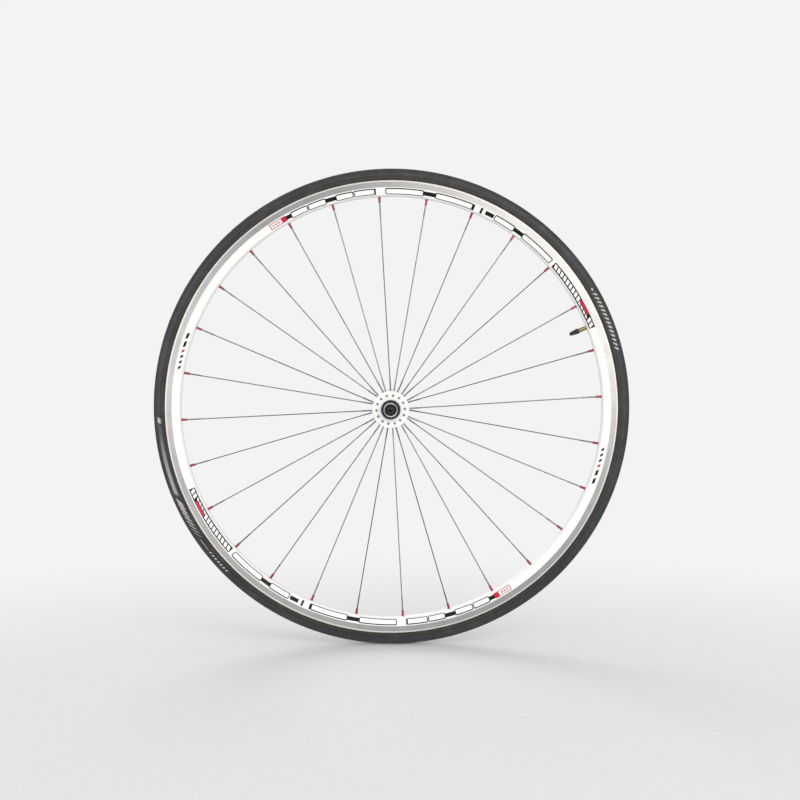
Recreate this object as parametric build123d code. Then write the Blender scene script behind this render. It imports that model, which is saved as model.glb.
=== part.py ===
from build123d import *
import math
import os

# Front road-bicycle wheel, 700C clincher, 28 radial spokes, hollow quick-release axle.
# Millimetres. The origin is the wheel's centre, the axle lies along Y and +Z is up.
# "near" is the -Y side and "far" is the +Y side. Angles round the wheel are counter-clockwise
# from +X towards +Z, as seen from the near side.

# ---------------------------------------------------------------- driving sizes
SPOKE_COUNT = 28
PER_SIDE = SPOKE_COUNT // 2
SPOKE_STEP = 360 / PER_SIDE
NEAR_PHASE = 3.2
FAR_PHASE = NEAR_PHASE + SPOKE_STEP / 2
VALVE_ANGLE = NEAR_PHASE + 0.75 * SPOKE_STEP
GAP = 0.05  # between large rings that lie against each other

# rim, radii from the wheel's centre
BEAD_SEAT_R = 311.0
RIM_TOP_R = 317.2
TRACK_TOP_R = 314.6
TRACK_FOOT_R = 307.6
RIM_INNER_R = 295.6
RIM_BED = 1.9
RIM_HALF_WIDTH = 10.0
HOOK_HALF_WIDTH = 7.6
SEAT_HALF_WIDTH = 8.4
WELL_R = 309.6
WELL_HALF_WIDTH = 5.2
BRIDGE = 1.2
CHAMBER_HALF_WIDTH = 8.6

# tyre
TYRE_R = 334.5
CASING_R = 332.0
CASING_CENTRE_R = 320.6
CASING_WALL = 1.2
TREAD_EDGE_R = 323.6
TREAD_EDGE = 0.3
CORE_R = 0.9
CORE_CLEAR = 0.1

# rim tape and inner tube
TAPE = 0.6
TUBE_WALL = 0.6

# hub and axle, distances along Y from the wheel's centre
OVER_LOCKNUTS = 100.0
AXLE_END = 54.2
FLANGE_Y = 37.0
FLANGE_WIDTH = 2.8
FLANGE_R = 25.5
SPOKE_HOLE_PITCH_R = 19.65
SPOKE_HOLE_R = 1.15
SHELL_END = 41.5
BEARING_WIDTH = 6.0
BEARING_INNER = 35.2
BEARING_BORE_R = 6.0
BEARING_OUTER_R = 12.0
SHELL_BORE_R = 8.6
AXLE_BODY_R = 7.5
AXLE_NECK_R = 5.0
AXLE_TIP_R = 4.5
AXLE_CHAMFER = 0.4
SKEWER_BORE_R = 2.6
NECK_START = 44.6
CAP_R = 13.4
CAP_START = 42.0
CAP_SHOULDER = 44.2
CAP_CONE = (11.7, 48.0)
CAP_FACE_R = 11.1
CAP_FACE = 48.8
RECESS = 48.0
RING_OUTER_R = 9.8
RING_INNER_R = 8.1
RING_BACK = 47.4

# bearing internals
BALL_R = 1.5875
BALL_COUNT = 11
BALL_STEP = 360 / BALL_COUNT
PITCH_R = 9.0
GROOVE_R = 1.65
INNER_SHOULDER_R = 7.9
OUTER_SHOULDER_R = 10.1
CAGE_INNER_R = 8.35
CAGE_OUTER_R = 9.65
CAGE_WIDTH = 4.2
SEAL = 0.5
SEAL_INSET = 0.2
SEAL_LIP_CLEAR = 0.1

# spokes and nipples
SPOKE_END_R = 1.0
SPOKE_MID_R = 0.75
ELBOW_R = 2.6
HEAD_R = 1.7
HEAD_HEIGHT = 1.0
BUTT_INNER = (40.0, 44.0)
BUTT_OUTER = (267.0, 271.0)
RIM_HOLE_OFFSET = 1.0
RIM_HOLE_R = 2.2
ACCESS_HOLE_R = 4.5
NIPPLE_R = 2.0
NIPPLE_FLATS = 3.3
NIPPLE_BELOW = 8.0
NIPPLE_LENGTH = 12.0
NIPPLE_BORE_R = 1.05

# valve, places along its own radius from the wheel's centre
STEM_R = 3.0
VALVE_HOLE_R = 3.25
STEM_SHOULDER = 284.6
STEM_TIP = 279.6
STEM_TIP_R = 2.5
CAP_TIP = 270.4
PIN_TIP = 274.6
PIN_R = 0.8


# ---------------------------------------------------------------- helpers
def ring(face):
    """A face in (radius, Y) turned round the wheel's axle."""
    return revolve(face, Axis.Y)


def both_sides(edges):
    """The face inside edges that run from Y = 0 to Y = 0 on one side, and their mirror image."""
    half = Curve() + edges
    return make_face(half + mirror(half, Plane.XZ))


def closed(points):
    """The face inside a closed outline of straight edges."""
    return make_face(Polyline(*points, close=True))


def polar(centre, radius, degrees):
    """A point in (radius, Y) at an angle from the outward direction about a point on Y = 0."""
    angle = math.radians(degrees)
    return (centre + radius * math.cos(angle), radius * math.sin(angle))


def crown_arc(centre, radius, degrees):
    """An arc from the crown at Y = 0 down one side of the tyre."""
    return ThreePointArc(
        polar(centre, radius, 0),
        polar(centre, radius, degrees / 2),
        polar(centre, radius, degrees),
    )


def dome_arc(edge, tip):
    """A circle's arc from edge to tip, a point on X = 0 where the arc is square to that axis."""
    drop = edge[1] - tip[1]
    centre = tip[1] + (edge[0] ** 2 + drop**2) / (2 * drop)
    radius = centre - tip[1]
    half = math.asin(edge[0] / abs(radius)) / 2
    middle = (abs(radius) * math.sin(half), centre - radius * math.cos(half))
    return ThreePointArc(edge, middle, tip)


def turned_on_valve(points):
    """An outline of (radius from the wheel's centre, radius from the valve's axis), turned there."""
    return Rot(0, -VALVE_ANGLE, 0) * revolve(closed(points), Axis.X)


def round_wheel(shape, phase, count, step):
    """Copies of a shape that stands at angle 0, set out round the wheel."""
    return [Rot(0, -(phase + step * k), 0) * shape for k in range(count)]


def to_far_side(shape):
    return mirror(shape, Plane.XZ)


def save(name, *solids):
    """Writes one sub-part: a single solid, or a group of separate ones."""
    whole = solids[0] if len(solids) == 1 else Compound(children=list(solids))
    whole.label = name
    export_step(whole, f"parts/{name}.step")


# ---------------------------------------------------------------- spoke line
# In the plane of one near-side spoke, X is the radius and Y the axle's direction.
ELBOW_START = (SPOKE_HOLE_PITCH_R, -(FLANGE_Y - FLANGE_WIDTH / 2 + 0.3))
ELBOW_CENTRE = (SPOKE_HOLE_PITCH_R + ELBOW_R, ELBOW_START[1])


def spoke_lean():
    """The angle between a spoke and the wheel's plane: from its elbow to its hole in the rim."""
    lean = 0.0
    for _ in range(20):
        start = elbow_end(lean)
        lean = math.atan2(-RIM_HOLE_OFFSET - start[1], RIM_INNER_R - start[0])
    return lean


def elbow_end(lean):
    return (
        ELBOW_CENTRE[0] - ELBOW_R * math.sin(lean),
        ELBOW_CENTRE[1] + ELBOW_R * math.cos(lean),
    )


LEAN = spoke_lean()
SPOKE_START = elbow_end(LEAN)
# a frame whose Z runs along the straight part of the spoke, with its origin at the rim's inner edge
SPOKE_PLANE = Plane(
    origin=(RIM_INNER_R, -RIM_HOLE_OFFSET, 0),
    x_dir=(0, 0, 1),
    z_dir=(math.cos(LEAN), math.sin(LEAN), 0),
)


def along_spoke(radius):
    """How far along the spoke's line from the rim's inner edge a radius of the wheel lies."""
    return (radius - RIM_INNER_R) / math.cos(LEAN)


# ---------------------------------------------------------------- hub
def rounded_corner(corner, turn_r, turn_y):
    """A quarter-circle between the two points that lie turn_r and turn_y from a square corner."""
    r, y = corner
    share = 1 - math.sqrt(0.5)
    return ThreePointArc((r + turn_r, y), (r + turn_r * share, y + turn_y * share), (r, y + turn_y))


def hub_shell():
    """The waist, the two flanges with their spoke holes, and a bearing seat in each end."""
    inner_face = FLANGE_Y - FLANGE_WIDTH / 2
    outer_face = FLANGE_Y + FLANGE_WIDTH / 2
    edge = 0.6
    waist = (10.5, 16.0)
    neck = (15.2, inner_face - 1.5)
    neck_foot_r = 16.4
    boss_r = 17.4
    boss_end_r = 15.2
    end_chamfer = 0.5
    stop_r = BEARING_OUTER_R - 1.6
    stop_width = 1.5
    taper_end = BEARING_INNER - 2 * stop_width
    outline = [
        Polyline((SHELL_BORE_R, 0), (waist[0], 0), waist),
        Spline(waist, neck, tangents=((0, 1), (0.35, 1))),
        Polyline(neck, (neck_foot_r, inner_face), (FLANGE_R - edge, inner_face)),
        rounded_corner((FLANGE_R, inner_face), -edge, edge),
        Line((FLANGE_R, inner_face + edge), (FLANGE_R, outer_face - edge)),
        rounded_corner((FLANGE_R, outer_face), -edge, -edge),
        Polyline(
            (FLANGE_R - edge, outer_face),
            (boss_r, outer_face),
            (boss_end_r, SHELL_END - end_chamfer),
            (boss_end_r - end_chamfer, SHELL_END),
            (BEARING_OUTER_R, SHELL_END),
            (BEARING_OUTER_R, BEARING_INNER),
            (stop_r, BEARING_INNER),
            (stop_r, BEARING_INNER - stop_width),
            (SHELL_BORE_R, taper_end),
            (SHELL_BORE_R, 0),
        ),
    ]
    half = make_face(Curve() + outline)
    shell = ring(half) + ring(mirror(half, Plane.XZ))
    drill = Rot(90, 0, 0) * Cylinder(SPOKE_HOLE_R, 2 * FLANGE_WIDTH)
    hole = Pos(SPOKE_HOLE_PITCH_R, -FLANGE_Y, 0) * drill
    shell -= round_wheel(hole, NEAR_PHASE, PER_SIDE, SPOKE_STEP)
    shell -= round_wheel(to_far_side(hole), FAR_PHASE, PER_SIDE, SPOKE_STEP)
    return shell


def axle():
    far_half = [
        (AXLE_BODY_R, BEARING_INNER),
        (BEARING_BORE_R, BEARING_INNER),
        (BEARING_BORE_R, NECK_START),
        (AXLE_NECK_R, NECK_START),
        (AXLE_NECK_R, RECESS),
        (AXLE_TIP_R, RECESS),
        (AXLE_TIP_R, AXLE_END - AXLE_CHAMFER),
        (AXLE_TIP_R - AXLE_CHAMFER, AXLE_END),
        (SKEWER_BORE_R, AXLE_END),
    ]
    near_half = [(r, -y) for r, y in reversed(far_half)]
    return ring(closed(far_half + near_half))


def end_cap():
    """The black cap on the near side: it clamps the bearing's inner race and covers the shell's end."""
    inner = BEARING_INNER + BEARING_WIDTH
    chamfer = 0.3
    step = (CAP_R - 0.5, CAP_SHOULDER + 0.7)
    outline = [
        (BEARING_BORE_R, inner),
        (AXLE_BODY_R, inner),
        (AXLE_BODY_R, CAP_START),
        (CAP_R - chamfer, CAP_START),
        (CAP_R, CAP_START + chamfer),
        (CAP_R, CAP_SHOULDER),
        step,
        CAP_CONE,
        (CAP_FACE_R, CAP_FACE),
        (RING_OUTER_R, CAP_FACE),
        (RING_OUTER_R, RING_BACK),
        (RING_INNER_R, RING_BACK),
        (RING_INNER_R, RECESS),
        (AXLE_NECK_R, RECESS),
        (AXLE_NECK_R, NECK_START),
        (BEARING_BORE_R, NECK_START),
    ]
    return ring(closed([(r, -y) for r, y in outline]))


def contact_ring():
    """The steel ring on the near side that bears on the fork end."""
    face = OVER_LOCKNUTS / 2
    edge = 0.2
    outline = [
        (RING_INNER_R, RING_BACK),
        (RING_OUTER_R, RING_BACK),
        (RING_OUTER_R, face - edge),
        (RING_OUTER_R - edge, face),
        (RING_INNER_R + edge, face),
        (RING_INNER_R, face - edge),
    ]
    return ring(closed([(r, -y) for r, y in outline]))


# ---------------------------------------------------------------- near-side bearing
BEARING_Y = -(BEARING_INNER + BEARING_WIDTH / 2)
GROOVE = Pos(PITCH_R, BEARING_Y) * Circle(GROOVE_R)


def race(inner_r, outer_r):
    blank = Pos((inner_r + outer_r) / 2, BEARING_Y) * Rectangle(outer_r - inner_r, BEARING_WIDTH)
    return ring(blank - GROOVE)


def balls():
    ball = Pos(PITCH_R, BEARING_Y, 0) * Sphere(BALL_R)
    return round_wheel(ball, BALL_STEP / 2, BALL_COUNT, BALL_STEP)


def cage():
    thickness = CAGE_OUTER_R - CAGE_INNER_R
    blank = Pos(CAGE_INNER_R + thickness / 2, BEARING_Y) * Rectangle(thickness, CAGE_WIDTH)
    pocket = Pos(PITCH_R, BEARING_Y, 0) * Rot(0, 90, 0) * Cylinder(GROOVE_R, 3 * thickness)
    return ring(blank) - round_wheel(pocket, BALL_STEP / 2, BALL_COUNT, BALL_STEP)


def seals():
    inner_r = INNER_SHOULDER_R + SEAL_LIP_CLEAR
    inset = BEARING_WIDTH / 2 - SEAL_INSET - SEAL / 2
    shape = Rectangle(OUTER_SHOULDER_R - inner_r, SEAL)
    middle = (OUTER_SHOULDER_R + inner_r) / 2
    return [ring(Pos(middle, BEARING_Y + side * inset) * shape) for side in (-1, 1)]


# ---------------------------------------------------------------- rim
def rim_section():
    """The rim's outside: spoke bed, painted side, brake track, lip, hook, bead seat and well."""
    bed_middle = (RIM_INNER_R + 0.55, 3.9)
    side_foot = (298.0, 6.3)
    side_top_y = RIM_HALF_WIDTH - 0.3
    lip_y = RIM_HALF_WIDTH - 0.25
    lip_start = RIM_TOP_R - 0.6
    lip_flat_y = RIM_HALF_WIDTH - 0.85
    hook_chamfer = 0.5
    seat_chamfer = 0.6
    return [
        ThreePointArc((RIM_INNER_R, 0), bed_middle, side_foot),
        Polyline(
            side_foot,
            (TRACK_FOOT_R - 0.5, side_top_y),
            (TRACK_FOOT_R, RIM_HALF_WIDTH),
            (TRACK_TOP_R, RIM_HALF_WIDTH),
            (TRACK_TOP_R + 0.4, lip_y),
            (lip_start, lip_y),
        ),
        ThreePointArc(
            (lip_start, lip_y),
            (RIM_TOP_R - 0.18, lip_y - 0.18),
            (RIM_TOP_R, lip_flat_y),
        ),
        Polyline(
            (RIM_TOP_R, lip_flat_y),
            (RIM_TOP_R, HOOK_HALF_WIDTH + hook_chamfer),
            (RIM_TOP_R - hook_chamfer, HOOK_HALF_WIDTH),
            (RIM_TOP_R - 1.8, HOOK_HALF_WIDTH),
            (RIM_TOP_R - 2.6, SEAT_HALF_WIDTH),
            (BEAD_SEAT_R + seat_chamfer, SEAT_HALF_WIDTH),
            (BEAD_SEAT_R, SEAT_HALF_WIDTH - seat_chamfer),
            (BEAD_SEAT_R, WELL_HALF_WIDTH + seat_chamfer),
            (WELL_R, WELL_HALF_WIDTH),
            (WELL_R, 0),
        ),
    ]


def chamber_section():
    """The hollow inside the rim, between the spoke bed and the bridge under the bead seats."""
    foot = RIM_INNER_R + RIM_BED
    top = WELL_R - BRIDGE
    horn = top + 1.4
    return [
        Polyline(
            (foot, 0),
            (foot + 0.2, 3.4),
            (foot + 1.5, 5.2),
            (top - 0.8, CHAMBER_HALF_WIDTH),
            (horn, CHAMBER_HALF_WIDTH),
            (horn, 6.4),
            (top, 5.4),
            (top, 0),
        )
    ]


def rim():
    body = ring(both_sides(rim_section())) - ring(both_sides(chamber_section()))
    through_bed = 3.6 * RIM_BED
    through_bridge = 5 * BRIDGE
    through_both = 2 * (WELL_R - RIM_INNER_R)
    nipple_hole = SPOKE_PLANE * Cylinder(RIM_HOLE_R, through_bed)
    access_hole = SPOKE_PLANE * Pos(0, 0, along_spoke(WELL_R)) * Cylinder(ACCESS_HOLE_R, through_bridge)
    for hole in (nipple_hole, access_hole):
        body -= round_wheel(hole, NEAR_PHASE, PER_SIDE, SPOKE_STEP)
        body -= round_wheel(to_far_side(hole), FAR_PHASE, PER_SIDE, SPOKE_STEP)
    valve_drill = Rot(0, 90, 0) * Cylinder(VALVE_HOLE_R, through_both)
    valve_hole = Pos((RIM_INNER_R + WELL_R) / 2, 0, 0) * valve_drill
    return body - Rot(0, -VALVE_ANGLE, 0) * valve_hole


def rim_joint_sleeve():
    """The insert that joins the rim's two ends opposite the valve, which it also balances."""
    clear = 0.15
    foot = RIM_INNER_R + RIM_BED + clear
    top = WELL_R - BRIDGE - clear
    bar_gap = 1.6
    half_angle = 4.6
    outline = Polyline(
        (foot, bar_gap),
        (foot + 0.2, 3.2),
        (foot + 1.5, 4.9),
        (top - 0.6, CHAMBER_HALF_WIDTH - 0.4),
        (top, CHAMBER_HALF_WIDTH - 0.4),
        (top, bar_gap),
        close=True,
    )
    bar = make_face(outline)
    web_width = 2.4
    web = Pos((foot + top) / 2, 0) * Rectangle(web_width, 2 * bar_gap)
    section = bar + mirror(bar, Plane.XZ) + web
    arc = revolve(section, Axis.Y, revolution_arc=2 * half_angle)
    return Rot(0, -(VALVE_ANGLE + 180 + half_angle), 0) * arc


def rim_tape():
    side_clear = 0.15
    band = Pos(WELL_R + TAPE / 2, 0) * Rectangle(TAPE, 2 * (WELL_HALF_WIDTH - side_clear))
    hole = Pos(WELL_R, 0, 0) * Rot(0, 90, 0) * Cylinder(VALVE_HOLE_R, 10 * TAPE)
    return ring(band) - Rot(0, -VALVE_ANGLE, 0) * hole


# ---------------------------------------------------------------- tyre and tube
CASING_RADIUS = CASING_R - CASING_CENTRE_R
BEAD_CORE_AT = (312.9, 6.7)
SHOULDER = 103.0  # how far round its section, from the crown, the casing stays a circle


def tyre_casing():
    clear = 0.12
    neck_outer = HOOK_HALF_WIDTH - clear
    bead_outer = SEAT_HALF_WIDTH - clear
    seat = BEAD_SEAT_R + GAP
    outside = polar(CASING_CENTRE_R, CASING_RADIUS, SHOULDER)
    inner_radius = CASING_RADIUS - CASING_WALL
    inner_shoulder = SHOULDER - 2
    inside = polar(CASING_CENTRE_R, inner_radius, inner_shoulder)
    outline = [
        crown_arc(CASING_CENTRE_R, CASING_RADIUS, SHOULDER),
        Polyline(
            outside,
            (RIM_TOP_R + clear, RIM_HALF_WIDTH - 0.6),
            (RIM_TOP_R + clear, HOOK_HALF_WIDTH + 0.4),
            (RIM_TOP_R - 0.4, neck_outer),
            (RIM_TOP_R - 1.9, neck_outer),
            (RIM_TOP_R - 2.8, bead_outer),
            (seat + 0.7, bead_outer),
            (seat, bead_outer - 0.7),
            (seat, WELL_HALF_WIDTH + 0.6),
            (seat + 1.6, WELL_HALF_WIDTH + 0.1),
            (RIM_TOP_R - 0.2, HOOK_HALF_WIDTH - 1.5),
            (RIM_TOP_R + 1.1, RIM_HALF_WIDTH - 1.4),
            inside,
        ),
        crown_arc(CASING_CENTRE_R, inner_radius, inner_shoulder),
    ]
    channel = ring(Pos(*BEAD_CORE_AT) * Circle(CORE_R + CORE_CLEAR))
    return ring(both_sides(outline)) - channel - to_far_side(channel)


def tread_arc_circle():
    """The centre and radius of the tread's outside, through its crown and its edges."""
    rise = CASING_CENTRE_R - TREAD_EDGE_R
    edge = math.sqrt(CASING_RADIUS**2 - rise**2) + TREAD_EDGE
    height = TYRE_R - TREAD_EDGE_R
    centre = (TYRE_R + TREAD_EDGE_R - edge**2 / height) / 2
    return centre, TYRE_R - centre, edge


def tyre_tread():
    centre, radius, edge = tread_arc_circle()
    base_r = CASING_RADIUS + GAP
    outer_angle = math.degrees(math.acos((TREAD_EDGE_R - centre) / radius))
    inner_angle = math.degrees(math.acos((TREAD_EDGE_R - CASING_CENTRE_R) / base_r))
    outline = [
        crown_arc(centre, radius, outer_angle),
        Line(polar(centre, radius, outer_angle), polar(CASING_CENTRE_R, base_r, inner_angle)),
        crown_arc(CASING_CENTRE_R, base_r, inner_angle),
    ]
    return ring(both_sides(outline))


def bead_core():
    return ring(Pos(BEAD_CORE_AT[0], -BEAD_CORE_AT[1]) * Circle(CORE_R))


def tube_section(inset):
    """The tube's outline, which fills the tyre down to the rim tape, less an inset."""
    radius = CASING_RADIUS - CASING_WALL - 0.15 - inset
    shoulder = SHOULDER - 4
    outside = polar(CASING_CENTRE_R, radius, shoulder)
    return [
        crown_arc(CASING_CENTRE_R, radius, shoulder),
        Polyline(
            outside,
            (RIM_TOP_R + 1.5, RIM_HALF_WIDTH - 2.0 - inset),
            (RIM_TOP_R, HOOK_HALF_WIDTH - 1.9 - inset),
            (BEAD_SEAT_R + 1.8, WELL_HALF_WIDTH - 0.2 - inset),
            (WELL_R + TAPE + GAP + inset, WELL_HALF_WIDTH - 0.6 - inset),
            (WELL_R + TAPE + GAP + inset, 0),
        ),
    ]


def inner_tube():
    shell = ring(both_sides(tube_section(0))) - ring(both_sides(tube_section(TUBE_WALL)))
    hole = Pos(WELL_R, 0, 0) * Rot(0, 90, 0) * Cylinder(STEM_R + GAP, 10 * TUBE_WALL)
    return shell - Rot(0, -VALVE_ANGLE, 0) * hole


# ---------------------------------------------------------------- spoke and nipple, near side at angle 0
def spoke():
    flange_face = -(FLANGE_Y + FLANGE_WIDTH / 2)
    start = along_spoke(SPOKE_START[0])
    end = NIPPLE_LENGTH - NIPPLE_BELOW - 0.8
    chamfer = 0.2
    head_edge = 0.25
    straight = [
        (0, start),
        (SPOKE_END_R, start),
        (SPOKE_END_R, along_spoke(BUTT_INNER[0])),
        (SPOKE_MID_R, along_spoke(BUTT_INNER[1])),
        (SPOKE_MID_R, along_spoke(BUTT_OUTER[0])),
        (SPOKE_END_R, along_spoke(BUTT_OUTER[1])),
        (SPOKE_END_R, end - chamfer),
        (SPOKE_END_R - chamfer, end),
        (0, end),
    ]
    shaft = SPOKE_PLANE * revolve(Plane.XZ * closed(straight), Axis.Z)
    mouth = Plane(origin=(*ELBOW_START, 0), z_dir=(0, 1, 0)) * Circle(SPOKE_END_R)
    bend = Axis((*ELBOW_CENTRE, 0), (0, 0, -1))
    elbow = revolve(mouth, bend, revolution_arc=90 - math.degrees(LEAN))
    shank_length = ELBOW_START[1] - flange_face
    shank = Rot(90, 0, 0) * Cylinder(SPOKE_END_R, shank_length)
    shank = Pos(SPOKE_HOLE_PITCH_R, flange_face + shank_length / 2, 0) * shank
    dome = [
        Polyline((0, -HEAD_HEIGHT), (0, 0), (HEAD_R, 0), (HEAD_R, -head_edge)),
        dome_arc((HEAD_R, -head_edge), (0, -HEAD_HEIGHT)),
    ]
    head = Pos(SPOKE_HOLE_PITCH_R, flange_face, 0) * revolve(make_face(Curve() + dome), Axis.Y)
    return shaft + elbow + shank + head


def nipple():
    """The nipple: a square-sided barrel below the rim and a slotted head above the spoke bed."""
    top = NIPPLE_LENGTH - NIPPLE_BELOW
    seat = RIM_BED + 0.4
    head_r = NIPPLE_R + 0.9
    head_chamfer = 0.5
    flats_top = -1.6
    flats_r = NIPPLE_R - 0.15
    taper = 1.6
    mouth_r = NIPPLE_BORE_R + 0.35
    outline = [
        (NIPPLE_BORE_R, -NIPPLE_BELOW),
        (mouth_r, -NIPPLE_BELOW),
        (flats_r, -NIPPLE_BELOW + taper),
        (flats_r, flats_top),
        (NIPPLE_R, flats_top + 0.3),
        (NIPPLE_R, seat),
        (head_r, seat + 0.7),
        (head_r, top - 0.4),
        (head_r - head_chamfer, top),
        (NIPPLE_BORE_R, top),
    ]
    body = revolve(Plane.XZ * closed(outline), Axis.Z)
    wide = 10 * NIPPLE_R
    flats_length = NIPPLE_BELOW + flats_top
    flats = Box(wide, wide, flats_length) - Box(NIPPLE_FLATS, NIPPLE_FLATS, flats_length)
    flats = Pos(0, 0, flats_top - flats_length / 2) * flats
    slot_width = 0.8
    slot = Pos(0, 0, top) * Box(wide, slot_width, 2 * slot_width)
    return SPOKE_PLANE * (body - flats - slot)


# ---------------------------------------------------------------- valve
def valve_stem():
    inside = BEAD_SEAT_R + 0.35
    seat = 295.9
    narrow = 1.2
    air_r = 1.9
    guide_r = PIN_R + 0.1
    guide_end = 283.0
    return turned_on_valve(
        [
            (STEM_TIP, guide_r),
            (STEM_TIP, STEM_TIP_R - 0.3),
            (STEM_TIP + 0.3, STEM_TIP_R),
            (STEM_SHOULDER, STEM_TIP_R),
            (STEM_SHOULDER, STEM_R - 0.3),
            (STEM_SHOULDER + 0.3, STEM_R),
            (inside, STEM_R),
            (inside, STEM_R + 0.8),
            (inside + 0.6, STEM_R + 0.6),
            (inside + 0.8, air_r),
            (seat, air_r),
            (seat, narrow),
            (guide_end + 1, narrow),
            (guide_end, guide_r),
        ]
    )


def valve_pin():
    plug = 296.0
    return turned_on_valve(
        [
            (PIN_TIP, 0),
            (PIN_TIP, PIN_R - 0.25),
            (PIN_TIP + 0.25, PIN_R),
            (plug, PIN_R),
            (plug, 1.6),
            (plug + 1.5, 1.6),
            (plug + 2.2, 0.9),
            (plug + 2.2, 0),
        ]
    )


def valve_lock_nut():
    start = 276.4
    end = 278.3
    outer = 1.9
    nut = revolve(
        closed(
            [
                (start, PIN_R + 0.05),
                (start, outer - 0.3),
                (start + 0.3, outer),
                (end - 0.3, outer),
                (end, outer - 0.3),
                (end, PIN_R + 0.05),
            ]
        ),
        Axis.X,
    )
    notch = Pos((start + end) / 2, outer + 0.1, 0) * Box(end - start + 1, 0.5, 0.35)
    notches = [Rot(30 * k, 0, 0) * notch for k in range(12)]
    return Rot(0, -VALVE_ANGLE, 0) * (nut - notches)


def valve_cap():
    base = STEM_SHOULDER - 0.2
    widest = base - 2.6
    widest_r = 3.8
    base_r = 3.2
    tip_r = 2.5
    shoulder = CAP_TIP + 1.6
    cavity_r = STEM_TIP_R + 0.1
    step = STEM_TIP - 0.3
    narrow_r = 2.25
    outline = [
        Polyline(
            (0, CAP_TIP),
            (0, CAP_TIP + 2.0),
            (narrow_r, CAP_TIP + 3.4),
            (narrow_r, step),
            (cavity_r, step),
            (cavity_r, base),
            (base_r, base),
            (widest_r, widest + 0.4),
            (widest_r, widest - 0.4),
            (tip_r, shoulder),
        ),
        dome_arc((tip_r, shoulder), (0, CAP_TIP)),
    ]
    cap = revolve(make_face(Curve() + outline), Axis.Y)
    groove = Pos(widest_r + 0.12, widest + 1.1, 0) * Box(0.8, 2.2, 0.5)
    grooves = [Rot(0, 24 * k, 0) * groove for k in range(15)]
    return Rot(0, -VALVE_ANGLE, 0) * Rot(0, 0, -90) * (cap - grooves)


# ---------------------------------------------------------------- the whole wheel
def main():
    os.makedirs("parts", exist_ok=True)
    save("axle", axle())
    save("hub_shell", hub_shell())
    pairs = {
        "end_cap": [end_cap()],
        "contact_ring": [contact_ring()],
        "bearing_inner_race": [race(BEARING_BORE_R, INNER_SHOULDER_R)],
        "bearing_outer_race": [race(OUTER_SHOULDER_R, BEARING_OUTER_R)],
        "bearing_balls": balls(),
        "bearing_cage": [cage()],
        "bearing_seals": seals(),
        "bead_core": [bead_core()],
    }
    for name, solids in pairs.items():
        save(f"{name}_near", *solids)
        save(f"{name}_far", *[to_far_side(solid) for solid in solids])
    save("rim", rim())
    save("rim_joint_sleeve", rim_joint_sleeve())
    save("rim_tape", rim_tape())
    save("inner_tube", inner_tube())
    save("tyre_casing", tyre_casing())
    save("tyre_tread", tyre_tread())
    for side, phase, place in (("near", NEAR_PHASE, lambda s: s), ("far", FAR_PHASE, to_far_side)):
        spokes = round_wheel(place(spoke()), phase, PER_SIDE, SPOKE_STEP)
        for number, one in enumerate(spokes, 1):
            save(f"spoke_{side}_{number:02d}", one)
        save(f"nipples_{side}", *round_wheel(place(nipple()), phase, PER_SIDE, SPOKE_STEP))
    save("valve_stem", valve_stem())
    save("valve_pin", valve_pin())
    save("valve_lock_nut", valve_lock_nut())
    save("valve_cap", valve_cap())


main()
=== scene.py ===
import math

import bmesh
import bpy
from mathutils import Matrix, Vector


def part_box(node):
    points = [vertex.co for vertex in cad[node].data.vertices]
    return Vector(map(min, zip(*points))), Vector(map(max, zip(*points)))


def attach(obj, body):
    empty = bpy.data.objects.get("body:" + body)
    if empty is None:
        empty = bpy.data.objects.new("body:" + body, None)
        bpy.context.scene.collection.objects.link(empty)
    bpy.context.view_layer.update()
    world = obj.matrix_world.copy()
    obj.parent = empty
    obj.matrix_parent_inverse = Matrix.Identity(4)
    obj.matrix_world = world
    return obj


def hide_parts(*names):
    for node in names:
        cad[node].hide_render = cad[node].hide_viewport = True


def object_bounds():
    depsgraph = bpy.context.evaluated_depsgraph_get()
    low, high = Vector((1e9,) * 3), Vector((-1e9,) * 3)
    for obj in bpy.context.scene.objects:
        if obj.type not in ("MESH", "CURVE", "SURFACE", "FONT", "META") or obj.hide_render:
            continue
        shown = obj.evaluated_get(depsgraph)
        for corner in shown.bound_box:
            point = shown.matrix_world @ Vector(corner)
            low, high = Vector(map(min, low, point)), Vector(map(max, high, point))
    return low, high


# The looks of a 700C clincher front wheel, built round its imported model, in metres. The axle
# lies along Y, +Z is up and the near side is at -Y. Angles round the wheel are in degrees,
# counter-clockwise from +X to +Z as seen from the near side.

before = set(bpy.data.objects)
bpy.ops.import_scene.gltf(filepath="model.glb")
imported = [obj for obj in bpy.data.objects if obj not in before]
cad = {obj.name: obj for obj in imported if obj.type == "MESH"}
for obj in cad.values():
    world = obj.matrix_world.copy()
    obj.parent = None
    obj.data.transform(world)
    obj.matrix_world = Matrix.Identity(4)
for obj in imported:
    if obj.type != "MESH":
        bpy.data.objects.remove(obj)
cad_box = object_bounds()

# ---------------------------------------------------------------- driving sizes
MM = 0.001
SPOKE_COUNT = 28
SPOKE_STEP = 360 / SPOKE_COUNT
FIRST_SPOKE = 3.2
VALVE_ANGLE = FIRST_SPOKE + 1.5 * SPOKE_STEP

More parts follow.
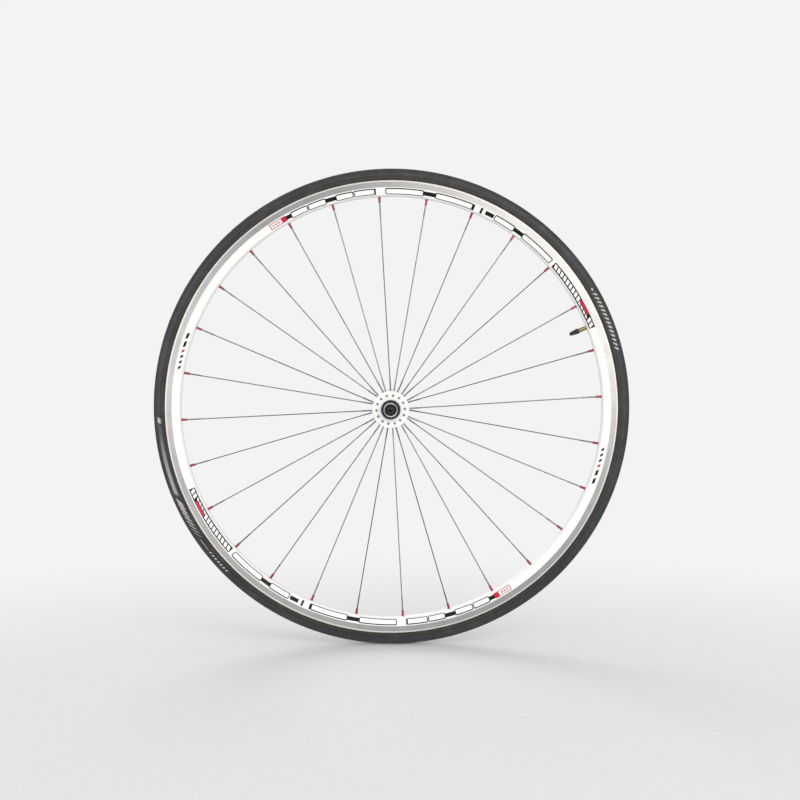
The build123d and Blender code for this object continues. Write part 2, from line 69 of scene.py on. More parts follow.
TYRE_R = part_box("tyre_tread")[1].x
CASING_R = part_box("tyre_casing")[1].x
CASING_CENTRE_R = 320.6 * MM  # where the tyre's round section has its centre
TREAD_EDGE_R = 323.6 * MM  # where the tread's edges lie on the casing
TREAD_HALF_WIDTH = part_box("tyre_tread")[1].y
PAINT_EDGE_R = 307.6 * MM  # the rim's enamel ends and its brake track starts
TRACK_TOP_R = 314.6 * MM  # the brake track ends and the rim's lip starts
GRAPHICS_FOOT_R = 298.1 * MM  # the rim's graphics lie between these two
GRAPHICS_TOP_R = 306.4 * MM
PRINT_FOOT_R = 321.8 * MM  # and the tyre's prints between these
PRINT_TOP_R = 328.4 * MM
RING_OUTER_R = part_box("contact_ring_near")[1].x
RING_INNER_R = 8.1 * MM
RING_FACE_Y = -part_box("contact_ring_near")[0].y
RING_BACK_Y = -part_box("contact_ring_near")[1].y
STEM_R = 3.0 * MM


def spoke_angle(number):
    """Where a spoke meets the rim. Even numbers are near-side spokes, and odd ones far-side."""
    return FIRST_SPOKE + number * SPOKE_STEP


def on_wheel(radius, y, degrees):
    """A point at a radius and an angle round the axle."""
    angle = math.radians(degrees)
    return Vector((radius * math.cos(angle), y, radius * math.sin(angle)))


# ---------------------------------------------------------------- meshes
def grid_faces(rows, columns, start=0, wrap_rows=True, wrap_columns=True):
    """The quads between neighbouring rows and columns of vertices, closed round where they wrap."""
    faces = []
    for i in range(rows if wrap_rows else rows - 1):
        for j in range(columns if wrap_columns else columns - 1):
            here = start + i * columns
            there = start + (i + 1) % rows * columns
            k = (j + 1) % columns
            faces.append((here + j, here + k, there + k, there + j))
    return faces


def add_piece(name, vertices, faces, body, material, crease=35):
    """A closed mesh with outward normals that rides on a CAD body."""
    mesh = bpy.data.meshes.new(name)
    mesh.from_pydata([tuple(v) for v in vertices], [], faces)
    work = bmesh.new()
    work.from_mesh(mesh)
    bmesh.ops.recalc_face_normals(work, faces=work.faces)
    work.to_mesh(mesh)
    work.free()
    mesh.shade_smooth()
    mesh.set_sharp_from_angle(angle=math.radians(crease))
    piece = bpy.data.objects.new(name, mesh)
    bpy.context.scene.collection.objects.link(piece)
    piece.data.materials.append(material)
    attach(piece, body)
    return piece


def turned_ring(outline, columns):
    """The vertices and faces of a closed (radius, y) outline turned round the axle."""
    vertices = []
    for k in range(columns):
        vertices += [on_wheel(r, y, 360 * k / columns) for r, y in outline]
    return vertices, grid_faces(columns, len(outline))


class Skin:
    """A band on the sides of some meshes between two radii, which thin plates are laid on."""

    PROBE = 0.15 * MM  # how far apart the surface is probed to find its slope

    def __init__(self, under, inner_r, outer_r):
        self.under = under
        self.inner_r = inner_r
        self.height = outer_r - inner_r

    def depth(self, radius, degrees, side):
        """How far the surface is from the wheel's middle plane: side 1 is near, and -1 far."""
        start = on_wheel(radius, -0.2 * side, degrees)
        hits = [mesh.ray_cast(start, Vector((0, side, 0))) for mesh in self.under]
        return max(abs(place.y) for found, place, _, _ in hits if found)

    def at(self, rise, degrees, lift, side):
        """The point a rise above the band's foot and at an angle, lifted off the surface."""
        radius = self.inner_r + rise
        below = self.depth(radius - self.PROBE, degrees, side)
        above = self.depth(radius + self.PROBE, degrees, side)
        outward = Vector((below - above, 2 * self.PROBE)).normalized() * lift
        depth = self.depth(radius, degrees, side) + outward.y
        return on_wheel(radius + outward.x, -side * depth, degrees)


class Plates:
    """Thin closed plates of one material on a skin: printed, painted or stuck-on graphics."""

    ROWS = 5  # strips across a plate
    STEP = 0.6  # degrees round the wheel between its columns
    CORNER = (0, 18, 36, 54, 72, 90)  # degrees round a rounded corner
    SUNK = 0.05 * MM  # how far its underside lies in the surface

    def __init__(self, skin, lift):
        self.skin = skin
        self.lift = lift
        self.vertices = []
        self.faces = []

    def add(self, start, end, low, high, corner=0.0, slant=0.0, turns=(0, 180)):
        """One plate between two angles and two shares of the skin's height, on both sides."""
        low *= self.skin.height
        high *= self.skin.height
        turn_per_length = 1 / math.radians(self.skin.inner_r)
        reach = corner * turn_per_length
        rounds = [reach * (1 - math.cos(math.radians(t))) for t in self.CORNER]
        if not corner:
            rounds = [0.0]
        inner = end - start - 2 * reach
        count = max(1, round(inner / self.STEP))
        middle = [start + reach + inner * k / count for k in range(1, count)]
        angles = [start + e for e in rounds] + middle + [end - e for e in reversed(rounds)]
        columns = []
        for angle in angles:
            edge = min(angle - start, end - angle) / turn_per_length
            cut = corner - math.sqrt(max(0.0, corner**2 - max(0.0, corner - edge) ** 2))
            columns.append((angle, low + cut, high - cut))
        for turn in turns:
            self.add_grid(columns, turn, slant, side=1)
            self.add_grid(columns, turn, slant, side=-1)

    def add_grid(self, columns, turn, slant, side):
        """Side 1 is the near side. Side -1 is the same turned half round about the valve's radius."""
        first = len(self.vertices)
        for angle, low, high in columns:
            loop = [(row / self.ROWS, self.lift) for row in range(self.ROWS + 1)]
            loop += [(share, -self.SUNK) for share, _ in reversed(loop)]
            for share, lift in loop:
                here = angle + turn + slant * (share - 0.5)
                if side < 0:
                    here = 2 * VALVE_ANGLE - here
                self.vertices.append(self.skin.at(low + (high - low) * share, here, lift, side))
        size = 2 * (self.ROWS + 1)
        self.faces += grid_faces(len(columns), size, first, wrap_rows=False)
        last = first + (len(columns) - 1) * size
        for row in range(self.ROWS):
            for base in (first, last):
                ring = (base + row, base + row + 1, base + size - 2 - row, base + size - 1 - row)
                self.faces.append(ring)

    def finish(self, name, material, slot=None):
        return add_piece(name, self.vertices, self.faces, "wheel", material, crease=50)


# ---------------------------------------------------------------- finishes
# A noise's scale is in cells to the metre. Tones are linear red, green and blue.
class Finish:
    """One material's nodes. Each method adds a node and gives back the socket it ends in."""

    def __init__(self, name, **settings):
        self.material = bpy.data.materials.new(name)
        self.material.use_nodes = True
        self.tree = self.material.node_tree
        self.shader = self.tree.nodes["Principled BSDF"]
        for socket, value in settings.items():
            self.shader.inputs[socket.replace("_", " ")].default_value = value

    def node(self, kind, inputs, output=0, **options):
        made = self.tree.nodes.new(kind)
        for option, value in options.items():
            setattr(made, option, value)
        for key, value in inputs.items():
            if isinstance(value, bpy.types.NodeSocket):
                self.tree.links.new(value, made.inputs[key])
            else:
                made.inputs[key].default_value = value
        return made.outputs[output]

    def maths(self, operation, *values):
        return self.node("ShaderNodeMath", dict(enumerate(values)), operation=operation)

    def position(self):
        """The place on the object itself, which moves with it."""
        return self.node("ShaderNodeTexCoord", {}, output=3)

    def split(self, vector):
        parts = self.tree.nodes.new("ShaderNodeSeparateXYZ")
        self.tree.links.new(vector, parts.inputs[0])
        return parts.outputs[0], parts.outputs[1], parts.outputs[2]

    def around_axle(self):
        """The radius from the axle, the distance along it and the angle round it, in radians."""
        x, y, z = self.split(self.position())
        squares = self.maths("ADD", self.maths("MULTIPLY", x, x), self.maths("MULTIPLY", z, z))
        return self.maths("SQRT", squares), y, self.maths("ARCTAN2", z, x)

    def noise(self, vector, scale, detail=2.0, roughness=0.5):
        inputs = {"Vector": vector, "Scale": scale, "Detail": detail, "Roughness": roughness}
        return self.node("ShaderNodeTexNoise", inputs)

    def lines(self, across, along, y, scale, stretch):
        """Fine marks that run round the axle: noise stretched along the way round."""
        parts = {
            0: self.maths("MULTIPLY", across, scale),
            1: self.maths("MULTIPLY", along, stretch),
            2: self.maths("MULTIPLY", y, scale),
        }
        return self.noise(self.node("ShaderNodeCombineXYZ", parts), 1.0, detail=3.0)

    def spread(self, value, low, high, start=0.3, end=0.7):
        """A value between start and end brought to between low and high."""
        inputs = {0: value, 1: start, 2: end, 3: low, 4: high}
        return self.node("ShaderNodeMapRange", inputs, interpolation_type="SMOOTHSTEP")

    def blend(self, factor, first, second):
        """Two colours mixed, each a socket or three numbers."""
        inputs = {0: factor, 6: colour(first), 7: colour(second)}
        return self.node("ShaderNodeMix", inputs, output=2, data_type="RGBA")

    def choose(self, factor, first, second):
        """Two values mixed, each a socket or a number."""
        return self.node("ShaderNodeMix", {0: factor, 2: first, 3: second}, data_type="FLOAT")

    def bump(self, height, distance, strength, below=None):
        """A normal tilted by a height, over the normal below it where one is given."""
        inputs = {"Height": height, "Distance": distance, "Strength": strength}
        if below is not None:
            inputs["Normal"] = below
        return self.node("ShaderNodeBump", inputs)

    def paint(self, **links):
        """Feeds sockets into the shader's inputs, and gives back the material."""
        for socket, value in links.items():
            self.tree.links.new(value, self.shader.inputs[socket.replace("_", " ")])
        return self.material


def colour(value):
    """A socket as it is, or three numbers made an opaque colour."""
    return value if isinstance(value, bpy.types.NodeSocket) else (*value, 1.0)


def shade(tone, factor):
    """A tone made darker or lighter."""
    return tuple(channel * factor for channel in tone)


ENAMEL = (0.87, 0.87, 0.855)


def turned_metal(name, tone, roughness, pitch=0.15 * MM, marks=0.5):
    """Metal cut on a lathe: fine lines round the axle, and slight stains."""
    finish = Finish(name, Metallic=1.0)
    radius, y, angle = finish.around_axle()
    cut = finish.lines(radius, angle, y, 1 / pitch, 1.2)
    stain = finish.noise(finish.position(), 140.0, detail=4.0)
    tint = finish.blend(finish.spread(stain, 0.0, 1.0), shade(tone, 0.86), shade(tone, 1.08))
    streaked = finish.blend(finish.spread(cut, 0.0, marks), tint, shade(tone, 0.7))
    return finish.paint(
        Base_Color=streaked,
        Roughness=finish.spread(stain, roughness * 0.8, roughness * 1.25),
        Normal=finish.bump(cut, 0.02 * MM, 0.6),
    )


def gloss_white(name):
    """White enamel: faint orange peel, a clear coat and a little grime."""
    finish = Finish(name, Coat_Weight=0.6, Coat_Roughness=0.08, Specular_IOR_Level=0.5)
    place = finish.position()
    peel = finish.noise(place, 900.0)
    grime = finish.spread(finish.noise(place, 60.0, detail=5.0, roughness=0.65), 0.0, 1.0, 0.52, 0.8)
    tone = finish.blend(grime, ENAMEL, (0.79, 0.785, 0.76))
    return finish.paint(
        Base_Color=tone,
        Roughness=finish.spread(peel, 0.24, 0.36),
        Normal=finish.bump(peel, 0.02 * MM, 0.4),
    )


def rim_finish():
    """The rim: enamelled inside, machined brake tracks, and bare alloy from the lip to the well."""
    finish = Finish("rim_finish", Anisotropic=0.65, Anisotropic_Rotation=0.25)
    radius, y, angle = finish.around_axle()
    place = finish.position()
    bare = finish.maths("GREATER_THAN", radius, PAINT_EDGE_R - 0.05 * MM)
    lip = finish.maths("GREATER_THAN", radius, TRACK_TOP_R + 0.1 * MM)

    # bare alloy: cut lines, patches rubbed by the brake pads, and a paler lip; the lip's pale tone is
    # partly its polished finish and partly a painted highlight along its rounded edge
    cut = finish.lines(radius, angle, y, 4200.0, 2.0)
    swirl = finish.noise(place, 35.0, detail=3.0)
    track = finish.blend(finish.spread(cut, 0.0, 1.0), (0.53, 0.516, 0.512), (0.64, 0.625, 0.62))
    rubbed = finish.blend(finish.spread(swirl, 0.0, 0.35), track, (0.41, 0.398, 0.395))
    # painted highlight: the lip's paler colour, with its lower metallic below, stands in partly for the
    # bright line along its rounded edge
    metal = finish.blend(lip, rubbed, (0.84, 0.82, 0.79))

    grime = finish.spread(finish.noise(place, 45.0, detail=5.0, roughness=0.65), 0.0, 1.0, 0.54, 0.8)
    enamel = finish.blend(grime, ENAMEL, (0.80, 0.795, 0.775))
    peel = finish.noise(place, 900.0)

    # the thin line where the rim's ends meet, opposite the valve
    seam_angle = math.radians(VALVE_ANGLE - 180)
    off_seam = finish.maths("ABSOLUTE", finish.maths("SUBTRACT", angle, seam_angle))
    seam = finish.maths("LESS_THAN", off_seam, 0.0004)  # radians, for a line 0.25 mm wide
    tone = finish.blend(bare, enamel, metal)
    tone = finish.blend(finish.maths("MULTIPLY", seam, bare), tone, (0.25, 0.24, 0.23))

    rough = finish.choose(bare, finish.spread(peel, 0.24, 0.34), finish.spread(cut, 0.36, 0.44))
    peel_height = finish.maths("MULTIPLY", peel, 0.4)
    cut_height = finish.maths("MULTIPLY", cut, 0.35)
    height = finish.choose(bare, peel_height, cut_height)
    tangent = finish.node("ShaderNodeTangent", {}, direction_type="RADIAL", axis="Y")
    return finish.paint(
        Base_Color=tone,
        Metallic=finish.maths("SUBTRACT", bare, finish.maths("MULTIPLY", lip, 0.25)),
        Roughness=finish.choose(lip, rough, 0.5),
        Normal=finish.bump(height, 0.025 * MM, 0.6),
        Tangent=tangent,
    )


def rubber(name, tone, worn, cords=0.0, roughness=0.55):
    """Moulded rubber: a fine grain, dusty patches, and the casing's threads where cords is set."""
    finish = Finish(name, Specular_IOR_Level=0.45)
    radius, y, angle = finish.around_axle()
    place = finish.position()
    skin = finish.noise(place, 2200.0, detail=3.0)
    dust = finish.noise(place, 55.0, detail=6.0, roughness=0.7)
    round_the_wheel = finish.lines(radius, angle, y, 600.0, 6.0)
    dusty = finish.maths("MULTIPLY", finish.spread(dust, 0.0, 1.0, 0.42, 0.8), 0.55)
    tint = finish.blend(dusty, tone, worn)
    tint = finish.blend(finish.spread(round_the_wheel, 0.0, 0.35), tint, shade(tone, 0.7))
    normal = finish.bump(skin, 0.05 * MM, 0.5)
    if cords:
        turns = finish.maths("MULTIPLY", angle, cords)
        lean = finish.maths("MULTIPLY", radius, 2600.0)
        thread = finish.maths("SINE", finish.maths("ADD", turns, lean))
        normal = finish.bump(thread, 0.02 * MM, 0.35, below=normal)
    return finish.paint(
        Base_Color=tint,
        Roughness=finish.spread(skin, roughness * 0.85, roughness * 1.2),
        Normal=normal,
    )


def plastic(name, tone, roughness):
    """Moulded plastic: a fine spark-eroded grain and rubbed patches."""
    finish = Finish(name)
    place = finish.position()
    skin = finish.noise(place, 1800.0)
    rubbed = finish.noise(place, 220.0, detail=4.0)
    return finish.paint(
        Base_Color=finish.blend(finish.spread(rubbed, 0.0, 1.0), shade(tone, 0.8), shade(tone, 1.3)),
        Roughness=finish.spread(rubbed, roughness * 0.8, roughness * 1.3),
        Normal=finish.bump(skin, 0.03 * MM, 0.5),
    )


def drawn_steel(name, tone, roughness):
    """Drawn wire: long faint die marks, and a patchy dark finish."""
    finish = Finish(name, Metallic=1.0)
    radius, y, angle = finish.around_axle()
    drawn = finish.lines(angle, radius, y, 9000.0, 30.0)
    patch = finish.noise(finish.position(), 320.0, detail=4.0)
    tint = finish.blend(finish.spread(patch, 0.0, 1.0), shade(tone, 0.8), shade(tone, 1.35))
    return finish.paint(
        Base_Color=tint,
        Roughness=finish.spread(drawn, roughness * 0.8, roughness * 1.3),
        Normal=finish.bump(drawn, 0.01 * MM, 0.5),
    )


def anodised(name, tone, worn, roughness):
    """Dyed anodised alloy, a little paler where it is handled."""
    finish = Finish(name, Metallic=0.75, Specular_IOR_Level=0.6)
    radius, y, angle = finish.around_axle()
    cut = finish.lines(radius, angle, y, 5000.0, 4.0)
    rub = finish.spread(finish.noise(finish.position(), 260.0, detail=5.0), 0.0, 0.6, 0.5, 0.8)
    return finish.paint(
        Base_Color=finish.blend(rub, tone, worn),
        Roughness=finish.spread(cut, roughness * 0.85, roughness * 1.2),
        Normal=finish.bump(cut, 0.015 * MM, 0.5),
    )


def ink(name, tone, worn, wear, roughness=0.4, **settings):
    """A printed or stuck-on film: even colour, faint mottling, and worn specks."""
    finish = Finish(name, **settings)
    place = finish.position()
    mottle = finish.noise(place, 900.0, detail=4.0)
    specks = finish.spread(finish.noise(place, 1500.0, detail=5.0, roughness=0.7), 0.0, wear, 0.55, 0.75)
    tint = finish.blend(specks, tone, worn)
    return finish.paint(
        Base_Color=tint,
        Roughness=finish.spread(mottle, roughness * 0.8, roughness * 1.25),
        Normal=finish.bump(mottle, 0.01 * MM, 0.4),
    )


def fading_ink(name, dark, light):
    """A patch of grey print that fades from one end to the other, worn into the rubber's grain."""
    finish = Finish(name, Specular_IOR_Level=0.3)
    angle = finish.around_axle()[2]
    from_valve = finish.maths("SUBTRACT", angle, math.radians(VALVE_ANGLE))
    across = finish.maths("COSINE", from_valve)
    grain = finish.noise(finish.position(), 1300.0, detail=5.0, roughness=0.7)
    tint = finish.blend(finish.spread(across, 1.0, 0.0, -1.0, -0.955), dark, light)
    worn = finish.blend(finish.spread(grain, 0.0, 0.6, 0.48, 0.7), tint, dark)
    return finish.paint(
        Base_Color=worn,
        Roughness=finish.spread(grain, 0.5, 0.7),
        Normal=finish.bump(grain, 0.02 * MM, 0.4),
    )


WHITE_ENAMEL = gloss_white("white_enamel")
BLACK_ALLOY = anodised("black_alloy", (0.018, 0.018, 0.019), (0.07, 0.07, 0.07), roughness=0.38)
RED_ALLOY = anodised("red_alloy", (0.36, 0.07, 0.085), (0.46, 0.17, 0.18), roughness=0.4)
BRIGHT_STEEL = turned_metal("bright_steel", (0.50, 0.495, 0.49), 0.36)
AXLE_ALLOY = turned_metal("axle_alloy", (0.065, 0.065, 0.065), 0.4)
RACE_STEEL = turned_metal("race_steel", (0.70, 0.70, 0.70), 0.16)
BALL_STEEL = turned_metal("ball_steel", (0.80, 0.80, 0.80), 0.06, marks=0.1)
CAGE_PLASTIC = plastic("cage_plastic", (0.70, 0.64, 0.48), roughness=0.45)
SEAL_RUBBER = rubber("seal_rubber", (0.02, 0.02, 0.022), (0.05, 0.05, 0.05))
SLEEVE_ALLOY = turned_metal("sleeve_alloy", (0.68, 0.68, 0.68), 0.4)
BEAD_WIRE = drawn_steel("bead_wire", (0.45, 0.40, 0.30), 0.4)
TAPE = plastic("tape_film", (0.10, 0.24, 0.58), roughness=0.5)
TUBE_RUBBER = rubber("tube_rubber", (0.02, 0.02, 0.02), (0.10, 0.10, 0.10))
SIDEWALL = rubber("sidewall_rubber", (0.026, 0.0225, 0.019), (0.078, 0.070, 0.06), cords=900.0)
# the tread's bluer, lighter tone than the sidewall's is partly its own rubber and partly a painted
# reflection of the pale surroundings
TREAD = rubber("tread_rubber", (0.0275, 0.0305, 0.0345), (0.085, 0.09, 0.096), roughness=0.56)
SPOKE_STEEL = drawn_steel("spoke_steel", (0.22, 0.218, 0.22), 0.34)
VALVE_BRASS = turned_metal("valve_brass", (0.44, 0.35, 0.20), 0.32, pitch=0.4 * MM)
CAP_PLASTIC = plastic("cap_plastic", (0.016, 0.017, 0.016), roughness=0.42)
WHITE_FILM = ink("white_film", (0.88, 0.88, 0.865), (0.74, 0.73, 0.71), wear=0.2)
BLACK_FILM = ink(
    "black_film", (0.008, 0.008, 0.009), (0.04, 0.04, 0.04), wear=0.3, Specular_IOR_Level=0.2
)
RED_FILM = ink("red_film", (0.48, 0.018, 0.04), (0.42, 0.08, 0.09), wear=0.3, Specular_IOR_Level=0.3)
TYRE_INK = ink("tyre_ink", (0.48, 0.48, 0.47), (0.12, 0.12, 0.12), wear=0.7, roughness=0.6)
FADING_INK = fading_ink("fading_ink", (0.085, 0.09, 0.092), (0.33, 0.33, 0.34))

CAD_FINISHES = {
    "axle": AXLE_ALLOY,
    "hub_shell": WHITE_ENAMEL,
    "end_cap_near": BLACK_ALLOY,
    "end_cap_far": BLACK_ALLOY,
    "bearing_inner_race_near": RACE_STEEL,
    "bearing_inner_race_far": RACE_STEEL,
    "bearing_outer_race_near": RACE_STEEL,
    "bearing_outer_race_far": RACE_STEEL,
    "bearing_balls_near": BALL_STEEL,
    "bearing_balls_far": BALL_STEEL,
    "bearing_cage_near": CAGE_PLASTIC,
    "bearing_cage_far": CAGE_PLASTIC,
    "bearing_seals_near": SEAL_RUBBER,
    "bearing_seals_far": SEAL_RUBBER,
    "bead_core_near": BEAD_WIRE,
    "bead_core_far": BEAD_WIRE,
    "rim": rim_finish(),
    "rim_joint_sleeve": SLEEVE_ALLOY,
    "rim_tape": TAPE,
    "inner_tube": TUBE_RUBBER,
    "tyre_casing": SIDEWALL,
    "nipples_near": RED_ALLOY,
    "nipples_far": RED_ALLOY,
    "valve_stem": VALVE_BRASS,
    "valve_pin": VALVE_BRASS,
    "valve_lock_nut": VALVE_BRASS,
    "valve_cap": CAP_PLASTIC,
}


def finish_cad_nodes():
    """Each CAD node that stays in view gets its own procedural material."""
    for name, node in cad.items():
        if name.startswith("spoke"):
            material = SPOKE_STEEL
        else:
            material = CAD_FINISHES.get(name)
        if material is None:
            continue
        for slot in node.material_slots:
            slot.material = material


# ---------------------------------------------------------------- tyre
TREAD_ARC_CENTRE = (TYRE_R**2 - TREAD_EDGE_R**2 - TREAD_HALF_WIDTH**2) / (2 * (TYRE_R - TREAD_EDGE_R))
TREAD_ARC = TYRE_R - TREAD_ARC_CENTRE
TREAD_ARC_HALF = math.degrees(math.acos((TREAD_EDGE_R - TREAD_ARC_CENTRE) / TREAD_ARC))
CASING_ARC = CASING_R - CASING_CENTRE_R + 0.02 * MM
CASING_ARC_HALF = math.degrees(math.acos((TREAD_EDGE_R - CASING_CENTRE_R) / CASING_ARC))
GROOVE_COUNT = 80
GROOVE_DEPTH = 0.7 * MM
GROOVE_HALF = 0.10  # degrees round the wheel, at the groove's floor
GROOVE_WALL = 0.06  # degrees round the wheel
GROOVE_LEAN = 3.2  # degrees round the wheel that a groove's outer end is ahead of its inner end
GROOVE_START = 13  # degrees from the crown, round the tread's section
GROOVE_END = 50
GROOVE_FADE = 5
TREAD_STEPS = 14  # from the crown to the tread's edge, outside
UNDER_STEPS = 5  # the same, on the casing


def groove_reach(crown):
    """How much of its depth a groove has at an angle from the crown."""
    rise = min(max((abs(crown) - GROOVE_START) / GROOVE_FADE, 0), 1)
    fall = min(max((GROOVE_END - abs(crown)) / GROOVE_FADE, 0), 1)
    return rise * fall


def tread_columns():
    """Angles round the wheel with the side that each is grooved on: -1 near, +1 far, 0 neither."""
    pitch = 360 / GROOVE_COUNT
    columns = []
    for k in range(GROOVE_COUNT):
        for side, offset in ((-1, 0), (1, pitch / 2)):
            middle = k * pitch + offset
            wall = GROOVE_HALF + GROOVE_WALL
            columns.append((middle - wall, 0))
            columns.append((middle - GROOVE_HALF, side))
            columns.append((middle + GROOVE_HALF, side))
            columns.append((middle + wall, 0))
            columns.append((middle + pitch / 4, 0))
    return columns


def tread():
    """The tread band, with slanted water grooves in both shoulders, staggered side to side."""
    outer = [TREAD_ARC_HALF * k / TREAD_STEPS for k in range(-TREAD_STEPS, TREAD_STEPS + 1)]
    inner = [CASING_ARC_HALF * k / UNDER_STEPS for k in range(UNDER_STEPS, -UNDER_STEPS - 1, -1)]
    vertices = []
    for angle, grooved in tread_columns():
        for crown in outer:
            cut = GROOVE_DEPTH * groove_reach(crown) if grooved * crown > 0 else 0
            tilt = math.radians(crown)
            arc = TREAD_ARC - cut
            lean = GROOVE_LEAN * abs(crown) / TREAD_ARC_HALF
            radius = TREAD_ARC_CENTRE + arc * math.cos(tilt)
            vertices.append(on_wheel(radius, arc * math.sin(tilt), angle + lean))
        for crown in inner:
            tilt = math.radians(crown)
            lean = GROOVE_LEAN * abs(crown) / CASING_ARC_HALF
            radius = CASING_CENTRE_R + CASING_ARC * math.cos(tilt)
            vertices.append(on_wheel(radius, CASING_ARC * math.sin(tilt), angle + lean))
    size = len(outer) + len(inner)
    faces = grid_faces(len(vertices) // size, size)
    band = add_piece("tread_band", vertices, faces, "wheel", TREAD, crease=28)
    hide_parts("tyre_tread")
    return band


def mould_lines():
    """Raised lines moulded round both sidewalls: one just clear of the rim, one by the tread."""
    sunk = 0.2 * MM
    top_share = 0.45  # of a line's width, at its top
    for name, crown, half, height in (
        ("rim_line", 97.0, 0.35 * MM, 0.22 * MM),
        ("upper_line", 80.0, 0.25 * MM, 0.15 * MM),
    ):
        for side, sign in (("near", -1), ("far", 1)):
            tilt = math.radians(crown)
            outward = Vector((math.cos(tilt), sign * math.sin(tilt)))
            along = Vector((-outward.y, outward.x))
            foot = Vector((CASING_CENTRE_R, 0)) + outward * (CASING_R - CASING_CENTRE_R)
            outline = [
                foot - outward * sunk - along * half,
                foot - along * half,
                foot + outward * height - along * half * top_share,
                foot + outward * height + along * half * top_share,
                foot + along * half,
                foot - outward * sunk + along * half,
            ]
            vertices, faces = turned_ring(outline, 240)
            add_piece(f"{name}_{side}", vertices, faces, "wheel", SIDEWALL)


# ---------------------------------------------------------------- graphics on the rim
# A panel, link or bar runs from one spoke and an angle past it to another spoke and an angle past
# that one. The rim's graphics repeat after half a turn. Here and in the tyre's prints, places and
# widths round the wheel are in degrees, and heights are shares of the skin that the graphics lie on,
# from 0 at its foot to 1 at its top.
PANELS = (
    (3, 0.8, 4, -1.75),
    (4, 0.9, 5, -5.9),
    (5, 0.5, 6, -2.1),
    (6, 1.0, 7, -1.7),
    (7, 1.0, 7, 6.65),
    (7, 6.75, 8, -1.35),
    (8, 1.3, 8, 6.35),
    (8, 6.45, 9, -1.55),
)
LINKS = (
    (4, -2.1, 4, 1.2),
    (5, -5.6, 5, -3.2),
    (6, -2.4, 6, 1.2),
    (8, -1.6, 8, 1.6),
    (9, -1.7, 9, -0.1),
)
BARS = ((5, -2.3, 5, -1.7), (5, 0.0, 5, 0.8), (7, 0.8, 7, 1.35))
OUTLINE = 1.45 * MM
PANEL_CORNER = 1.9 * MM
FILL_CORNER = 0.9 * MM
FILM = 0.09 * MM  # how far the lower film stands off the surface
TOP_FILM = 0.15 * MM  # and the film laid over it

BLOCK_START = spoke_angle(9) - 0.1
BLOCK_END = BLOCK_START + 1.4
BOX_END = BLOCK_START + 4.9

BAND_START = 21.9
BAND_END = spoke_angle(3) - 0.2
BAND_HASHES = 15
ACCENT_START = 25.6
ACCENT_END = 29.8

MARKS_START = 159.6
WIDE_MARK = 1.5
SMALL_MARK = 0.7
MARK_GAP = 0.8


def span(graphic):
    """The angles where a panel, link or bar starts and ends."""
    first, past_first, last, past_last = graphic
    return spoke_angle(first) + past_first, spoke_angle(last) + past_last


def outlined_panels(black, white):
    """White panels with black outlines, the black links between them, and short bars."""
    edge = OUTLINE / black.skin.height
    edge_turn = math.degrees(0.9 * OUTLINE / black.skin.inner_r)
    for graphic in PANELS:
        start, end = span(graphic)
        black.add(start, end, 0, 1, corner=PANEL_CORNER)
        white.add(start + edge_turn, end - edge_turn, 0.7 * edge, 1 - edge, corner=FILL_CORNER)
    for graphic in LINKS:
        black.add(*span(graphic), 0.2, 0.84)
    for graphic in BARS:
        black.add(*span(graphic), 0.02, 0.98)


def red_block(red):
    """A red block with a thin red-outlined box beside it, which has three dots in it."""
    bottom, top = 0.08, 0.96
    line = 0.1
    line_turn = 0.2
    red.add(BLOCK_START, BLOCK_END, bottom, top)
    red.add(BLOCK_END, BOX_END, top - line, top)
    red.add(BLOCK_END, BOX_END, bottom, bottom + line)
    red.add(BOX_END - line_turn, BOX_END, bottom, top)
    for k in range(3):
        dot = BLOCK_END + 0.7 + 0.8 * k
        red.add(dot, dot + 0.45, 0.4, 0.64)


def hashed_band(black, white, red):
    """A black band with slanted white hashes, which are short beside its red accent."""
    black.add(BAND_START, BAND_END, 0, 1, corner=0.8 * MM)
    red.add(ACCENT_START, ACCENT_END, 0.5, 0.97)
    pitch = (BAND_END - BAND_START - 0.5) / BAND_HASHES
    for k in range(BAND_HASHES):
        start = BAND_START + 0.4 + k * pitch
        beside_accent = ACCENT_START - pitch < start < ACCENT_END
        top = 0.42 if beside_accent else 0.82
        white.add(start, start + 0.72 * pitch, 0.18, top, slant=0.5)


def row_of_marks(black, red):
    """Two wide black marks, a small red one and three small black ones."""
    start = MARKS_START
    for width, plates in (
        (WIDE_MARK, black),
        (WIDE_MARK, black),
        (SMALL_MARK, red),
        (SMALL_MARK, black),
        (SMALL_MARK, black),
        (SMALL_MARK, black),
    ):
        plates.add(start, start + width, 0.28, 0.68, slant=0.5)
        start += width + MARK_GAP


def rim_graphics():
    """Plain geometric graphics on the painted sides, as thin films."""
    skin = Skin([cad["rim"]], GRAPHICS_FOOT_R, GRAPHICS_TOP_R)
    black = Plates(skin, FILM)
    white = Plates(skin, TOP_FILM)
    red = Plates(skin, TOP_FILM)
    outlined_panels(black, white)
    red_block(red)
    hashed_band(black, white, red)
    row_of_marks(black, red)
    black.finish("rim_graphics_black", BLACK_FILM, "cap_plastic")
    white.finish("rim_graphics_white", WHITE_FILM, "white_paint")
    red.finish("rim_graphics_red", RED_FILM, "red_anodised")


# ---------------------------------------------------------------- prints on the tyre
ONCE = (0,)  # a tyre's print doesn't repeat after half a turn
PRINT_LIFT = 0.12 * MM
PATCH_LIFT = 0.10 * MM


def print_row(plates, first, count, pitch, width, low, high, slant):
    """A row of like hashes, whose first starts at an angle."""
    for k in range(count):
        start = first + pitch * k
        plates.add(start, start + width, low, high, slant=slant, turns=ONCE)


def tapering_stripes(plates, first, count, pitch):
    """Leaning stripes, each narrower than the one before."""
    widest = 0.95
    step = 0.1
    for k in range(count):
        start = first + pitch * k
        plates.add(start, start + widest - step * k, 0.02, 0.9, slant=-1.9, turns=ONCE)


